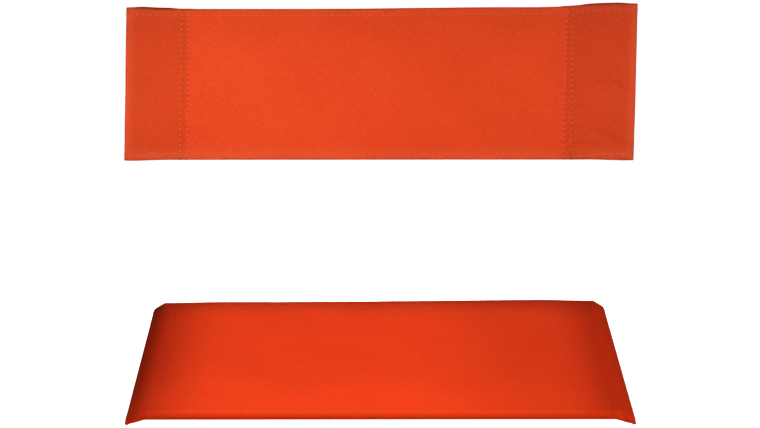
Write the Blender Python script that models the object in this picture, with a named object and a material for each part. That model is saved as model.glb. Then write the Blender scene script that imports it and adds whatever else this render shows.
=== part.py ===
"""Canvas set for a folding director's chair: a seat and a back of woven canvas.

The seat is a hemmed sheet whose two sides are folded under and sewn into pockets, and each
pocket holds a wooden dowel that keeps it in the groove of a chair rail. The back is a hemmed
strip whose two ends are folded behind and sewn into sleeves that slip over the chair's posts.

Metres, +Z up, -Y towards the chair's front. The origin is midway between the two seat rails,
at the height of their top faces. Both pieces lie where the chair holds them.
"""

import math

import bmesh
import bpy
import numpy as np

# Cloth and thread
CLOTH = 0.0008  # one ply of canvas
CLEARANCE = 0.0003  # what pieces that touch keep between them
THREAD = 0.0004  # side of the square that stands for a sewing thread
HEM_STEP = 0.0005  # length over which a hem's second ply ends
ROW_GAP = 0.0077  # between the two stitch rows of a pocket or sleeve
SEAM_MARGIN = 0.005  # cloth left beyond the inner stitch row
STITCH_DRAW = 0.0001  # how far a stitch row pulls the cloth in
STITCH_REACH = 0.001  # how far to each side it pulls
CROSSING_REACH = 0.003  # half length of a stitch row's rise over a thread that it crosses
CROSSING_TOP = 0.001  # half length of the level top of that rise
ROW_END = 0.0027  # what a pocket's stitch rows keep from the front and rear edges

# Seat
SEAT_WIDTH = 0.510  # fold to fold, across the rails
SEAT_DEPTH = 0.400  # front edge to rear edge
SEAT_HEM = 0.013  # width of the front and rear hems
SEAT_HEM_ROW = 0.010  # stitch row of a hem, in from the edge
LIP_DEPTH = 0.008  # length over which the front edge rolls down
LIP_DROP = 0.007  # how far the front edge rolls down
EAR_DROP = 0.0026  # how far a side fold drops at its front corner
RAIL_BEND = 0.0065  # radius of the seat's outer face over a rail
POCKET_SLOPE = math.radians(22)  # fall from that bend to the dowel
POCKET_NECK = 0.0036  # straight run of the lower ply between bend and dowel
POCKET_SEAM = 0.022  # outer stitch row, in from the fold
PINCH_LENGTH = 0.020  # front end of a pocket, pressed shut
PINCH_GAP = 0.0005  # what stays between its plies at the corner

# Dowels
DOWEL_DIAMETER = 0.007
DOWEL_SETBACK = 0.004  # from the pocket's open rear end
DOWEL_CHAMFER = 0.0006
DOWEL_SIDES = 24

# Back
BACK_WIDTH = 0.565  # fold to fold
BACK_HEIGHT = 0.171
BACK_HEM = 0.009
BACK_HEM_ROW = 0.0066
BACK_ABOVE_SEAT = 0.1665  # seat top to the back's lower edge
SLEEVE_WIDTH = {"left": 0.062, "right": 0.070}  # fold to outer stitch row
SLEEVE_GAPE = 0.007  # how far the rear ply stands off the seam
SLEEVE_RISE = 0.3  # share of a sleeve in which the rear ply rises, and falls again
SLEEVE_BELLY = 0.0005  # how far the front ply stands forward over a post

# What follows from these
PLIES = 4 * CLOTH + CLEARANCE  # a hem folded on itself: four plies
SEAT_TOP = PLIES  # the lower ply lies on the rail at height 0
LOOP_RADIUS = DOWEL_DIAMETER / 2 + CLEARANCE + 2 * CLOTH
PINCH_RADIUS = 2 * CLOTH + PINCH_GAP
NECK_BEND = RAIL_BEND - PLIES
LOOP_TO_BEND = LOOP_RADIUS + NECK_BEND + POCKET_NECK
BEND_IN = LOOP_RADIUS + LOOP_TO_BEND * math.cos(POCKET_SLOPE)
LOOP_HEIGHT = -RAIL_BEND - LOOP_TO_BEND * math.sin(POCKET_SLOPE)
POCKET_END = POCKET_SEAM + ROW_GAP + SEAM_MARGIN
BACK_FRONT = SEAT_DEPTH / 2
BACK_BOTTOM = SEAT_TOP + BACK_ABOVE_SEAT
BACK_TOP = BACK_BOTTOM + BACK_HEIGHT
NOSE_RADIUS = PLIES / 2
SIDES = {"left": -1, "right": 1}

ARC_STEPS = 6
LOOP_STEPS = 16
NOSE_STEPS = 9
PINCH_STEPS = 3
CROSSING_STEPS = 4
SLEEVE_STEPS = 24
SHARP_EDGE = math.radians(35)


def linear(hex_colour):
    """A colour written as sRGB hex, in Blender's linear values."""
    parts = [int(hex_colour[i : i + 2], 16) / 255 for i in (0, 2, 4)]
    return [p / 12.92 if p <= 0.04045 else ((p + 0.055) / 1.055) ** 2.4 for p in parts]


def finish(name, hex_colour, roughness):
    """A material of its own for one node."""
    material = bpy.data.materials.new(name)
    material.use_nodes = True
    shader = material.node_tree.nodes["Principled BSDF"]
    shader.inputs["Base Color"].default_value = (*linear(hex_colour), 1)
    shader.inputs["Roughness"].default_value = roughness
    shader.inputs["Metallic"].default_value = 0
    return material


def smooth(share):
    """0 to 1 with level ends."""
    share = np.clip(share, 0, 1)
    return (1 - np.cos(math.pi * share)) / 2


def unit(angle):
    """The direction of an angle, in the plane of a section."""
    return np.stack([np.cos(angle), np.sin(angle)], axis=-1)


def add_node(name, mesh, parent, hex_colour, roughness):
    """One named object from a finished bmesh, with its faces pointing out."""
    bmesh.ops.recalc_face_normals(mesh, faces=mesh.faces)
    data = bpy.data.meshes.new(name)
    mesh.to_mesh(data)
    mesh.free()
    data.materials.append(finish(name, hex_colour, roughness))
    node = bpy.data.objects.new(name, data)
    node.parent = parent
    bpy.context.collection.objects.link(node)
    return node


def strip(name, stations, parent, hex_colour, roughness):
    """A closed strip: each station is a row of points on its outer face and one on its inner."""
    mesh = bmesh.new()
    rows = [[[mesh.verts.new(p) for p in face] for face in station] for station in stations]
    last = len(rows[0][0]) - 1
    for (outer, inner), (next_outer, next_inner) in zip(rows, rows[1:]):
        for i in range(last):
            mesh.faces.new((outer[i], outer[i + 1], next_outer[i + 1], next_outer[i]))
            mesh.faces.new((inner[i], next_inner[i], next_inner[i + 1], inner[i + 1]))
        for i in (0, last):
            mesh.faces.new((outer[i], next_outer[i], next_inner[i], inner[i]))
    for outer, inner in (rows[0], rows[-1]):
        for i in range(last):
            mesh.faces.new((outer[i], inner[i], inner[i + 1], outer[i + 1]))
    return add_node(name, mesh, parent, hex_colour, roughness)


def canvas(name, stations, parent):
    return strip(name, stations, parent, "DE4620", 0.85)


def thread(name, stations, parent):
    return strip(name, stations, parent, "E8682A", 0.6)


def mirrored(points, normals):
    """A half section and its mirror image as one run, from the left end to the right end."""
    flip = np.array([-1, 1])
    left = (points[::-1] * flip, normals[::-1] * flip)
    return np.concatenate([left[0], points]), np.concatenate([left[1], normals])


def bumps(places, row_places):
    """How far a stitch row stands up where it crosses the threads of the hems."""
    nearest = np.min([np.abs(places - p) for p in row_places], axis=0)
    share = (CROSSING_REACH - nearest) / (CROSSING_REACH - CROSSING_TOP)
    return (THREAD + CLEARANCE) * smooth(share)


def crossing_places(row_places):
    """Points along a stitch row that draw its bumps."""
    aside = np.linspace(CROSSING_TOP, CROSSING_REACH, CROSSING_STEPS)
    return np.concatenate([p + side * aside for p in row_places for side in (-1, 1)])


def stitch_places(row):
    """Places across a stitch row, each with how far the row pulls the cloth in there."""
    return [(row - STITCH_REACH, 0), (row, STITCH_DRAW), (row + STITCH_REACH, 0)]


# ---------------------------------------------------------------- seat


def loop_radius(from_front):
    """Outer radius of a pocket's loop: full, and pressed shut towards the front corner."""
    return PINCH_RADIUS + (LOOP_RADIUS - PINCH_RADIUS) * smooth(from_front / PINCH_LENGTH)


def seat_half_section(radius):
    """The outer face of the seat's right half: its points (x, z) and outward normals.

    Top ply, bend over the rail, down to the dowel, round it, up the neck and back inwards,
    with a flat strip between the stitch rows that rests on the rail.
    """
    bend = np.array([SEAT_WIDTH / 2 - BEND_IN, -RAIL_BEND])
    loop = np.array([SEAT_WIDTH / 2 - radius, LOOP_HEIGHT])
    across = bend - loop
    distance = np.hypot(*across)
    bearing = math.atan2(across[1], across[0])
    outer_touch = bearing - math.acos((RAIL_BEND - radius) / distance)
    neck_touch = bearing + math.acos((radius + NECK_BEND) / distance)

    over_rail = np.linspace(math.pi / 2, outer_touch, ARC_STEPS)
    round_dowel = np.linspace(outer_touch, neck_touch - 2 * math.pi, LOOP_STEPS)
    up_neck = np.linspace(neck_touch - math.pi, math.pi / 2, ARC_STEPS)
    under = []
    for row in (POCKET_SEAM, POCKET_SEAM + ROW_GAP):
        for from_fold, pull in stitch_places(row):
            under.append([SEAT_WIDTH / 2 - from_fold, pull - PLIES])
    under.append([SEAT_WIDTH / 2 - POCKET_END, -PLIES])
    points = [
        [[0, 0]],
        bend + RAIL_BEND * unit(over_rail),
        loop + radius * unit(round_dowel),
        bend + NECK_BEND * unit(up_neck),
        under,
    ]
    down = [[0, -1]] * len(under)
    normals = [[[0, 1]], unit(over_rail), unit(round_dowel), -unit(up_neck), down]
    return np.concatenate(points), np.concatenate(normals)


def lip(from_front):
    """Height lost to the rolled front edge, a quarter of an ellipse."""
    share = np.clip(1 - np.asarray(from_front) / LIP_DEPTH, 0, 1)
    return -LIP_DROP * (1 - np.sqrt(1 - share**2))


def lip_share(from_fold):
    """How much of the roll the cloth takes: all of it inside the rails, little at the folds."""
    corner = EAR_DROP / LIP_DROP
    return corner + (1 - corner) * smooth(from_fold / BEND_IN)


def seat_face(from_front, offset):
    """The seat's outer face moved out by offset, across the whole seat at one depth."""
    points, normals = mirrored(*seat_half_section(loop_radius(from_front)))
    moved = points + offset * normals
    drop = lip(from_front) * lip_share(SEAT_WIDTH / 2 - np.abs(points[:, 0]))
    y = np.full(len(moved), from_front - SEAT_DEPTH / 2)
    return np.stack([moved[:, 0], y, SEAT_TOP + moved[:, 1] + drop], axis=1)


def lip_places():
    """Depths that draw the rolled front edge."""
    return LIP_DEPTH * (1 - np.cos(np.linspace(0, math.pi / 2, ARC_STEPS + 1)))


def seat_cloth(parent):
    """The sheet from front to rear: hems of two plies, drawn in along their stitch rows."""
    pinch = np.linspace(SEAT_HEM + HEM_STEP, PINCH_LENGTH, PINCH_STEPS)
    middle = [*pinch, SEAT_DEPTH - SEAT_HEM - HEM_STEP]
    hem = [*stitch_places(SEAT_HEM_ROW), (SEAT_HEM, 0)]
    rear = [(SEAT_DEPTH - d, pull) for d, pull in [(0, 0), *hem]]
    sections = [(d, 0, 2 * CLOTH) for d in lip_places()]
    sections += [(d, pull, 2 * CLOTH) for d, pull in hem]
    sections += [(d, 0, CLOTH) for d in middle]
    sections += [(d, pull, 2 * CLOTH) for d, pull in reversed(rear)]
    stations = [(seat_face(d, -pull), seat_face(d, -thick)) for d, pull, thick in sections]
    canvas("seat_cloth", stations, parent)


def seat_hem_threads(edge, row, parent):
    """The needle thread on a hem's outer face, and the bobbin thread under its open middle."""
    ends = (row - THREAD / 2, row + THREAD / 2)
    needle = [(seat_face(d, CLEARANCE + THREAD), seat_face(d, CLEARANCE)) for d in ends]
    thread(f"seat_{edge}_hem_needle_thread", needle, parent)

    reach = SEAT_WIDTH / 2 - POCKET_END - CLEARANCE
    upper = SEAT_TOP - 2 * CLOTH - CLEARANCE
    bobbin = []
    for depth in ends:
        y = depth - SEAT_DEPTH / 2
        bobbin.append([[(-reach, y, z), (reach, y, z)] for z in (upper, upper - THREAD)])
    thread(f"seat_{edge}_hem_bobbin_thread", bobbin, parent)


def pocket_threads(side, row_name, from_fold, hem_rows, parent):
    """One stitch row of a pocket: needle thread on the seat's top, bobbin thread below."""
    x = SIDES[side] * (SEAT_WIDTH / 2 - from_fold)
    rolled = np.linspace(ROW_END, LIP_DEPTH, ARC_STEPS)
    straight = [SEAT_DEPTH - ROW_END]
    depths = np.sort(np.concatenate([rolled, crossing_places(hem_rows), straight]))
    drop = lip(depths) * lip_share(from_fold)
    rise = CLEARANCE + bumps(depths, hem_rows)
    faces = {"needle": (SEAT_TOP, 1), "bobbin": (0, -1)}
    for kind, (face, out) in faces.items():
        stations = []
        for depth, near in zip(depths - SEAT_DEPTH / 2, face + drop + out * rise):
            far = near + out * THREAD
            edges = (x - THREAD / 2, x + THREAD / 2)
            stations.append([[(e, depth, z) for e in edges] for z in (far, near)])
        thread(f"seat_{side}_pocket_{row_name}_{kind}_thread", stations, parent)


# ---------------------------------------------------------------- dowels


def dowel(side, parent):
    """A round stick with chamfered ends, its axis along the pocket."""
    length = SEAT_DEPTH - PINCH_LENGTH - 2 * DOWEL_SETBACK
    mesh = bmesh.new()
    bmesh.ops.create_cone(
        mesh,
        cap_ends=True,
        segments=DOWEL_SIDES,
        radius1=DOWEL_DIAMETER / 2,
        radius2=DOWEL_DIAMETER / 2,
        depth=length,
    )
    rims = [e for e in mesh.edges if abs(e.verts[0].co.z - e.verts[1].co.z) < length / 2]
    bmesh.ops.bevel(mesh, geom=rims, offset=DOWEL_CHAMFER, segments=1, affect="EDGES")
    node = add_node(f"{side}_dowel", mesh, parent, "C9A26B", 0.55)
    node.rotation_euler = (math.pi / 2, 0, 0)
    x = SIDES[side] * (SEAT_WIDTH / 2 - LOOP_RADIUS)
    y = SEAT_DEPTH / 2 - DOWEL_SETBACK - length / 2
    node.location = (x, y, SEAT_TOP + LOOP_HEIGHT)
    node.data.shade_smooth()
    node.data.set_sharp_from_angle(angle=SHARP_EDGE)


# ---------------------------------------------------------------- back


def back_half_plan(side):
    """The outer face of one half of the back: its points (x, y) and outward normals, x > 0.

    Front ply, with the flat face that a post lies behind, round the fold, and the rear ply,
    which bows out to leave room for the post.
    """
    sleeve = SLEEVE_WIDTH[side]
    nose = np.array([BACK_WIDTH / 2 - NOSE_RADIUS, BACK_FRONT + NOSE_RADIUS])
    round_fold = np.linspace(-math.pi / 2, math.pi / 2, NOSE_STEPS)

    share = np.linspace(0, 1, SLEEVE_STEPS)
    bow = smooth(share / SLEEVE_RISE) * smooth((1 - share) / SLEEVE_RISE)
    rear_x = nose[0] - share * (sleeve - NOSE_RADIUS)
    rear_y = BACK_FRONT + PLIES + SLEEVE_GAPE * bow
    rear = np.stack([rear_x, rear_y], axis=1)
    slope = np.gradient(rear_y, rear_x)
    rear_normals = np.stack([-slope, np.ones_like(slope)], axis=1)
    rear_normals /= np.linalg.norm(rear_normals, axis=1, keepdims=True)

    seam_x = BACK_WIDTH / 2 - sleeve
    post_x = nose[0] - (sleeve - NOSE_RADIUS) * np.array([1 - SLEEVE_RISE, SLEEVE_RISE])
    front = [[0, BACK_FRONT], [seam_x + SEAM_MARGIN, BACK_FRONT]]
    front += [[x, BACK_FRONT - SLEEVE_BELLY] for x in post_x]
    points = [
        front,
        nose + NOSE_RADIUS * unit(round_fold),
        rear[1:],
        [[seam_x - ROW_GAP - SEAM_MARGIN, BACK_FRONT + PLIES]],
    ]
    forward = [[0, -1]] * len(front)
    normals = [forward, unit(round_fold), rear_normals[1:], [[0, 1]]]
    return np.concatenate(points), np.concatenate(normals)


def back_face(z, offset):
    """The back's outer face moved out by offset, all round at one height."""
    flip = np.array([-1, 1])
    left, left_normals = back_half_plan("left")
    right, right_normals = back_half_plan("right")
    points = np.concatenate([left[::-1] * flip, right])
    normals = np.concatenate([left_normals[::-1] * flip, right_normals])
    moved = points + offset * normals
    return np.column_stack([moved, np.full(len(moved), z)])


def back_cloth(parent):
    heights = [
        (BACK_BOTTOM, 2 * CLOTH),
        (BACK_BOTTOM + BACK_HEM, 2 * CLOTH),
        (BACK_BOTTOM + BACK_HEM + HEM_STEP, CLOTH),
        (BACK_TOP - BACK_HEM - HEM_STEP, CLOTH),
        (BACK_TOP - BACK_HEM, 2 * CLOTH),
        (BACK_TOP, 2 * CLOTH),
    ]
    canvas("back_cloth", [(back_face(z, 0), back_face(z, -thick)) for z, thick in heights], parent)


def sleeve_row_x(side, row):
    """Where a stitch row of a sleeve lies: row 0 is the outer one."""
    return SIDES[side] * (BACK_WIDTH / 2 - SLEEVE_WIDTH[side] - row * ROW_GAP)


def back_hem_threads(edge, row_z, parent):
    """The needle thread all round a hem's outer face, and the bobbin thread behind its middle."""
    ends = (row_z - THREAD / 2, row_z + THREAD / 2)
    needle = [(back_face(z, CLEARANCE + THREAD), back_face(z, CLEARANCE)) for z in ends]
    thread(f"back_{edge}_hem_needle_thread", needle, parent)

    inset = SEAM_MARGIN + CLEARANCE
    reach = (sleeve_row_x("left", 1) + inset, sleeve_row_x("right", 1) - inset)
    near = BACK_FRONT + 2 * CLOTH + CLEARANCE
    bobbin = [[[(x, y, z) for x in reach] for y in (near + THREAD, near)] for z in ends]
    thread(f"back_{edge}_hem_bobbin_thread", bobbin, parent)


def sleeve_threads(side, row, row_name, hem_rows, parent):
    """One stitch row of a sleeve: needle thread in front, bobbin thread behind."""
    x = sleeve_row_x(side, row)
    ends = [BACK_BOTTOM + CLEARANCE, BACK_TOP - CLEARANCE]
    heights = np.sort(np.concatenate([ends, crossing_places(hem_rows)]))
    rise = CLEARANCE + bumps(heights, hem_rows)
    faces = {"needle": (BACK_FRONT, -1), "bobbin": (BACK_FRONT + PLIES, 1)}
    for kind, (face, out) in faces.items():
        stations = []
        for z, near in zip(heights, face + out * rise):
            edges = (x - THREAD / 2, x + THREAD / 2)
            stations.append([[(e, y, z) for e in edges] for y in (near + out * THREAD, near)])
        thread(f"back_{side}_sleeve_{row_name}_{kind}_thread", stations, parent)


# ---------------------------------------------------------------- assembly


def empty(name):
    """A bare axis that a moving group hangs on."""
    group = bpy.data.objects.new(name, None)
    bpy.context.collection.objects.link(group)
    return group


def make_seat():
    group = empty("seat")
    seat_cloth(group)
    hem_rows = {"front": SEAT_HEM_ROW, "rear": SEAT_DEPTH - SEAT_HEM_ROW}
    for edge, row in hem_rows.items():
        seat_hem_threads(edge, row, group)
    for side in SIDES:
        for row, row_name in enumerate(("outer", "inner")):
            from_fold = POCKET_SEAM + row * ROW_GAP
            pocket_threads(side, row_name, from_fold, list(hem_rows.values()), group)
        dowel(side, empty(f"{side}_dowel_slide"))


def make_back():
    group = empty("back_lift")
    back_cloth(group)
    hem_rows = {"bottom": BACK_BOTTOM + BACK_HEM_ROW, "top": BACK_TOP - BACK_HEM_ROW}
    for edge, row_z in hem_rows.items():
        back_hem_threads(edge, row_z, group)
    for side in SIDES:
        for row, row_name in enumerate(("outer", "inner")):
            sleeve_threads(side, row, row_name, list(hem_rows.values()), group)


def main():
    for old in list(bpy.data.objects):
        bpy.data.objects.remove(old, do_unlink=True)
    make_seat()
    make_back()


main()
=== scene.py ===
# %% [markdown]
# # The canvas set of a folding director's chair
#
# The object is two pieces of woven canvas. The seat is a hemmed sheet whose sides are folded
# under into pockets, each with a wooden dowel inside. The back is a hemmed strip whose ends are
# folded behind into sleeves for the chair's posts. The CAD model holds their sizes, places and
# motion. This script gives them the look of cloth: real folds and hems, single stitches, and a
# weave. First it loads that model, which stays fixed.

# %% Load the frame
import math

import bpy
import numpy as np
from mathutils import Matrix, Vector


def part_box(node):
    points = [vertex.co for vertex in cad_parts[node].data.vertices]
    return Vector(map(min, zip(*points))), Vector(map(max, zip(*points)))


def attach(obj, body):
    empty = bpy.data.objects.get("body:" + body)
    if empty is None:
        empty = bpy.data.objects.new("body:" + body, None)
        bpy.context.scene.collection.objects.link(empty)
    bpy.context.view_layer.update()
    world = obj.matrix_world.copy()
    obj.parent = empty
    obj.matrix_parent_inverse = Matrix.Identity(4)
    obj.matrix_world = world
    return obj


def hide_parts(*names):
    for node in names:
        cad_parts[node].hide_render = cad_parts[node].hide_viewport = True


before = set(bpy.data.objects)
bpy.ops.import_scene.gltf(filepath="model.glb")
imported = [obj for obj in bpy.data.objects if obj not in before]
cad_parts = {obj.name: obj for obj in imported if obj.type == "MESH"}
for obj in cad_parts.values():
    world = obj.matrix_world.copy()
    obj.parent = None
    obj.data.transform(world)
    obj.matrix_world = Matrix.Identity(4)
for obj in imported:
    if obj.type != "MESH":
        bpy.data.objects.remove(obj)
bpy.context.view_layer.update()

# %% [markdown]
# ## Sizes
#
# Lengths are in metres. The outer sizes and the stitch rows are read from the CAD nodes, so the
# looks can't drift away from the model. What the CAD leaves plain, such as the roll of the cloth
# over the rail, is named here.

# %% Sizes that come from the frame
seat_low, seat_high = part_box("seat_cloth")
back_low, back_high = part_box("back_cloth")
dowel_low, dowel_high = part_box("left_dowel")


def middle(node, axis):
    """Where the middle of a CAD node lies on one axis."""
    low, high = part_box(node)
    return (low[axis] + high[axis]) / 2


X, Y, Z = range(3)
SIDES = {"left": -1, "right": 1}
SEAT_HALF = (seat_high.x - seat_low.x) / 2
SEAT_FRONT = seat_low.y
SEAT_DEPTH = seat_high.y - seat_low.y
SEAT_TOP = seat_high.z
BACK_HALF = (back_high.x - back_low.x) / 2
BACK_HEIGHT = back_high.z - back_low.z
BACK_BOTTOM = back_low.z
BACK_FRONT = seat_high.y
print(f"seat {2 * SEAT_HALF:.3f} x {SEAT_DEPTH:.3f} m, back {2 * BACK_HALF:.3f} x {BACK_HEIGHT:.3f} m")

# %% Sizes of cloth, folds and thread
PLY = 0.0007  # thickness of the canvas
FOLD_GAP = 0.0001  # air between a hem's two plies
PLIES = 0.0035  # top of the seat down to the lower face of its pocket
RAIL_BEND = 0.0065  # radius of the rail's edge with both plies over it
NECK_BEND = RAIL_BEND - PLIES
TOP_BEND = 0.030  # the upper ply doesn't touch the rail, so it curves down more gently
PINCH_BEND = 0.018  # and more tightly where the loop is pressed shut
DOWEL_RADIUS = (dowel_high.x - dowel_low.x) / 2
LOOP_RADIUS = DOWEL_RADIUS + 0.0019
PINCH_RADIUS = 0.0021  # the loop pressed shut at the front corner
PINCH_LENGTH = 0.020
LOOP_HEIGHT = middle("left_dowel", Z) - SEAT_TOP
BEND_IN = 0.0165  # from the fold in to the lower ply's bend over the rail
TOP_BEND_IN = 0.0223  # and to where the upper ply starts to curve down
REAR_BEND = 0.008  # the rear hem is stiffer and bends sharply, nearer the fold
REAR_BEND_IN = 0.0150
REAR_REACH = 0.060
POCKET_END = 0.0347  # from the fold in to the raw edge under the seat
BEYOND = 0.001  # the section is known a little past the raw edge, for slopes there
LIP_DEPTH = 0.008  # the front edge rolls down within this
LIP_DROP = 0.007
UNDER_SHORT = 0.0045  # the lower ply ends this far behind the rolled front edge
LIP_ARC = 0.0118  # length of cloth in that roll
SEAT_HEM = 0.013
BACK_HEM = 0.009
NOSE = 0.00175  # radius of the back's side folds
print(f"canvas {1000 * PLY:.1f} mm thick")
print(f"dowel {2000 * DOWEL_RADIUS:.1f} mm in a loop of {2000 * LOOP_RADIUS:.1f} mm")

# %% [markdown]
# ## Tools for surfaces
#
# A piece of cloth is a function: give it s, the distance across the cloth, and v, the distance
# along it, and it returns points in space. The cloth's own direction at a point comes from two
# tiny steps over the same function, so one helper serves the seat, the back and every stitch
# that lies on them.

# %% Shapes of numbers
def smooth(share):
    """0 to 1 with level ends: half a cosine wave."""
    return (1 - np.cos(math.pi * np.clip(share, 0, 1))) / 2


def ripples(s, v, wavelength, seed, turn=0.0, spread=0.6, count=9):
    """Soft unevenness from -1 to 1: a sum of plane waves of about one wavelength.

    turn is the direction in which they travel, and spread how far each strays from it.
    """
    random = np.random.default_rng(seed)
    angle = turn + random.uniform(-spread, spread, count)
    number = 2 * math.pi / (wavelength * random.uniform(0.7, 1.6, count))
    phase = random.uniform(0, 2 * math.pi, count)
    across = np.asarray(s)[..., None] * np.cos(angle)
    along = np.asarray(v)[..., None] * np.sin(angle)
    return np.sin(number * (across + along) + phase).sum(-1) / math.sqrt(count)


# %% Directions on a surface
STEP = 2e-5


def unit(vectors):
    """Vectors of length one."""
    return vectors / np.linalg.norm(vectors, axis=-1, keepdims=True)


def local_frame(surface, s, v):
    """Point, direction along v and outward normal, from central differences of the surface."""
    across = surface(s + STEP, v) - surface(s - STEP, v)
    along = surface(s, v + STEP) - surface(s, v - STEP)
    return surface(s, v), unit(along), unit(np.cross(across, along))


def relieved(base, relief):
    """The base surface moved out along its own normal by relief(s, v)."""

    def surface(s, v):
        point, _, normal = local_frame(base, s, v)
        return point + normal * relief(s, v)[..., None]

    return surface


# %% [markdown]
# ## A hemmed sheet
#
# On the real piece, each long edge of the cloth is turned in and sewn down. The path of one
# thread is therefore: under the hem, round the fold, along the whole sheet, round the other fold
# and back. The path is carried across the surface and given the thickness of the canvas, which
# makes one closed shell with true folded edges. A Solidify modifier on a flat grid would be
# shorter, but it can't turn a hem.

# %% Path of a hemmed thread
FOLD_STEPS = 7


def hemmed_path(length, hem, places):
    """Path along the cloth with both hems: where it is, how far past the edge, how deep, its turn.

    The turn runs from pi (lying face in, under the hem) to 0 (face out) and on to pi again.
    The fold is half a circle through the middle of both plies.
    """
    radius = (PLY + FOLD_GAP) / 2
    turn = np.linspace(math.pi, 0, FOLD_STEPS)
    under = np.linspace(hem, 0, 6)
    main = places[(places > 0) & (places < length)]
    flat = np.zeros(len(main))
    lower = np.concatenate([np.full(len(under) - 1, math.pi), turn])
    at = np.concatenate([under[:-1], np.zeros(FOLD_STEPS), main, np.full(FOLD_STEPS, length)])
    at = np.concatenate([at, length - under[:-1][::-1]])
    turns = np.concatenate([lower, flat, lower[::-1]])
    past = radius * np.sin(turns)
    deep = radius * np.cos(turns) - PLY - FOLD_GAP / 2
    way = np.where(np.arange(len(at)) < len(lower) + len(main) / 2, -1.0, 1.0)
    return at, past, deep, turns, way


def finish_mesh(name, points, faces, uvs=None, values=None):
    """One smooth-shaded mesh object with a UV map in metres and a value at each point."""
    data = bpy.data.meshes.new(name)
    data.from_pydata(points.reshape(-1, 3), [], faces)
    data.validate()
    if uvs is not None:
        loops = np.zeros(len(data.loops), np.int32)
        data.loops.foreach_get("vertex_index", loops)
        layer = data.uv_layers.new(name="Cloth")
        layer.data.foreach_set("uv", uvs.reshape(-1, 2)[loops].astype(np.float32).ravel())
    for key, value in (values or {}).items():
        attribute = data.attributes.new(key, "FLOAT", "POINT")
        attribute.data.foreach_set("value", value.astype(np.float32).ravel())
    data.shade_smooth()
    piece = bpy.data.objects.new(name, data)
    bpy.context.scene.collection.objects.link(piece)
    return piece


def quads(rows, columns, start=0, flip=False):
    """Faces of a grid of points, numbered row by row from start."""
    corner = (np.arange(rows - 1)[:, None] * columns + np.arange(columns - 1)).ravel() + start
    found = np.stack([corner, corner + columns, corner + columns + 1, corner + 1], axis=1)
    return found[:, ::-1] if flip else found


def hemmed_sheet(name, surface, across, length, hem, places, marks):
    """A closed shell of cloth over a surface, with both long edges turned in.

    marks are named functions of (s, v) from 0 to 1, stored on the points for the material.
    """
    at, past, deep, turns, way = hemmed_path(length, hem, places)
    s, v = np.meshgrid(across, at, indexing="ij")
    point, along, normal = local_frame(surface, s, v)
    outward = along * way[None, :, None]
    middle_line = point + normal * deep[None, :, None] + outward * past[None, :, None]
    face = normal * np.cos(turns)[None, :, None] + outward * np.sin(turns)[None, :, None]
    shell = np.stack([middle_line + face * PLY / 2, middle_line - face * PLY / 2])

    rows, columns = len(across), len(at)
    count = rows * columns
    number = np.arange(count).reshape(rows, columns)
    faces = [quads(rows, columns), quads(rows, columns, count, flip=True)]
    for edge, turned in (
        (number[0], False), (number[-1], True), (number[:, 0], True), (number[:, -1], False)
    ):
        rim = np.stack([edge[:-1], edge[1:], edge[1:] + count, edge[:-1] + count], axis=1)
        faces.append(rim[:, ::-1] if turned else rim)
    cut = np.concatenate([[0], np.cumsum(np.hypot(np.diff(at), np.diff(past + deep)))])
    uvs = np.stack(np.broadcast_arrays(across[:, None], cut[None, :]), axis=-1)
    values = {key: np.stack([mark(s, v)] * 2) for key, mark in marks.items()}
    piece = finish_mesh(name, shell, np.concatenate(faces).tolist(), np.stack([uvs, uvs]), values)
    flat = (across[-1] - across[0], cut[-1])
    print(f"{name}: {2 * len(piece.data.polygons)} triangles, cut {flat[0]:.3f} x {flat[1]:.3f} m")
    return piece, flat


# %% [markdown]
# ## The seat's surface
#
# Across the seat, the cloth runs flat over the rails, bends down, goes round the dowel and comes
# back under itself. Each of these stretches is a circle whose centre, radius and angle are either
# fixed or change evenly, and a straight run is a circle that slides. So the whole section is a few
# lists of values at its corners, read between them in even steps. The upper ply curves down
# gently, except at the rear hem, which is stiffer and bends at a corner.

# %% Section of the seat
LAST = 7  # number of stretches in the section


def seen_from_loop(centre, loop_x):
    """Bearing and distance of a bend's centre from the middle of the dowel's loop."""
    across, up = centre[0] - loop_x, centre[1] - LOOP_HEIGHT
    return np.arctan2(up, across), np.hypot(across, up)


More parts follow.
